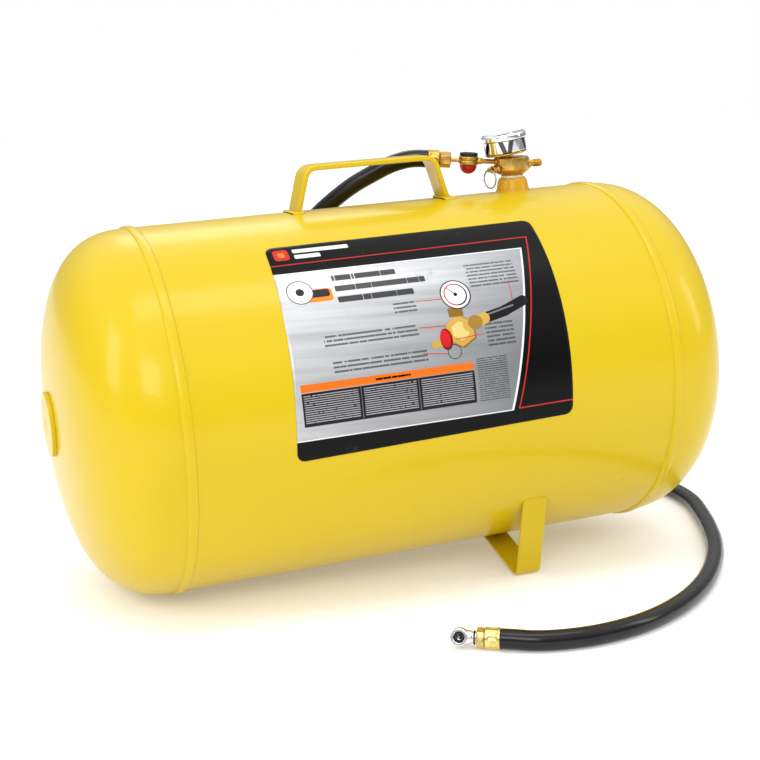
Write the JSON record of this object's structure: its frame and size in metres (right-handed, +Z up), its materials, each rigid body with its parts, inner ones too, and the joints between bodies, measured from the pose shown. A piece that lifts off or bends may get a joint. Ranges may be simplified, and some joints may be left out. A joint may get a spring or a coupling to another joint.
{
  "type": "portable air receiver tank",
  "caption": "Welded steel air tank on strap feet with a carry handle, a brass manifold with gauge, relief and fill valves, and a hose with a tyre chuck.",
  "frame": {"origin": "on the floor, under the middle of the box of the tank with its fittings, without the hose and the chuck", "axes": "+X along the tank to its right end (the tank itself is tipped up to the right by 2.66 degrees), +Y to the back, +Z up; the label is on the -Y side"},
  "size_m": [0.6565, 0.5085, 0.3877],
  "materials": {
    "paint": "glossy yellow enamel",
    "label": "printed film, mostly black",
    "tape": "white thread seal tape",
    "brass": "machined, lightly tarnished",
    "chrome": "polished",
    "steel": "plain wire",
    "dial": "printed white dial",
    "pointer": "black pointer",
    "lens": "clear",
    "red_plastic": "glossy red",
    "black_plastic": "satin black",
    "hose_rubber": "smooth glossy cover",
    "seal_rubber": "soft black"
  },
  "bodies": {
    "tank": {"shell": "paint", "left_head": "paint", "right_head": "paint", "left_weld": "paint", "right_weld": "paint", "seam_weld": "paint", "end_pad": "paint", "handle": "paint", "handle_weld_left": "paint", "handle_weld_right": "paint", "front_foot": "paint", "rear_foot": "paint", "bung": "paint", "label": "label", "thread_tape": "tape", "manifold_block": "brass", "gauge_back": "brass", "gauge_stem": "brass", "bourdon_tube": "brass", "relief_barrel": "brass", "fill_valve": "brass", "outlet_pipe": "brass", "cock_body": "brass", "outlet_tail": "brass", "tank_ferrule": "brass", "chuck_ferrule": "brass", "chuck_nut": "brass", "gauge_case": "chrome", "gauge_bezel": "chrome", "chuck_body": "chrome", "relief_spring": "steel", "gauge_dial": "dial", "gauge_lens": "lens", "cock_cap": "black_plastic", "hose": "hose_rubber", "chuck_seal": "seal_rubber"},
    "gauge_pointer": {"gauge_spindle": "brass", "gauge_needle": "pointer"},
    "gauge_sector": {"gauge_sector": "brass"},
    "relief_stem": {"relief_stem": "brass"},
    "relief_ring": {"relief_ring": "steel"},
    "fill_pin": {"fill_pin": "brass"},
    "cock_handle": {"cock_plug": "brass", "cock_knob": "red_plastic"},
    "swivel_nut": {"swivel_nut": "brass"},
    "chuck_pin": {"chuck_pin": "steel"}
  },
  "joints": [
    {"name": "gauge_needle_turn", "type": "hinge", "parent": "tank", "child": "gauge_pointer", "pos_m": [0.12739, 0, 0.36565], "axis": [0.1679, 0, -0.9858], "range_deg": [0, 270]},
    {"name": "gauge_sector_turn", "type": "hinge", "parent": "tank", "child": "gauge_sector", "pos_m": [0.12739, -0.0075, 0.36565], "axis": [0.1679, 0, -0.9858], "range_deg": [-78, 0]},
    {"name": "relief_pull", "type": "slide", "parent": "tank", "child": "relief_stem", "axis": [-0.9649, -0.2588, -0.0449], "range_m": [0, 0.001], "stiffness_N_per_m": 600, "deforming": ["relief_spring"]},
    {"name": "relief_ring_swing", "type": "hinge", "parent": "relief_stem", "child": "relief_ring", "pos_m": [0.10776, -0.00676, 0.35213], "axis": [0.2585, -0.9659, 0.012], "range_deg": [-10, 50]},
    {"name": "fill_pin_push", "type": "slide", "parent": "tank", "child": "fill_pin", "axis": [-0.9989, 0, -0.0465], "range_m": [0, 0.0008], "stiffness_N_per_m": 400},
    {"name": "cock_turn", "type": "hinge", "parent": "tank", "child": "cock_handle", "pos_m": [0.09588, 0.01337, 0.36029], "axis": [0.0519, -0.0358, 0.998], "range_deg": [0, 90]},
    {"name": "swivel_nut_spin", "type": "hinge", "parent": "tank", "child": "swivel_nut", "pos_m": [0.07645, 0.02041, 0.36155], "axis": [-0.9384, 0.3401, 0.061], "continuous": true},
    {"name": "chuck_pin_push", "type": "slide", "parent": "tank", "child": "chuck_pin", "axis": [0.4698, 0.8138, -0.342], "range_m": [0, 0.001], "stiffness_N_per_m": 300}
  ],
  "couplings": [
    {"joint": "gauge_sector_turn", "follows": "gauge_needle_turn", "ratio": -0.28}
  ]
}
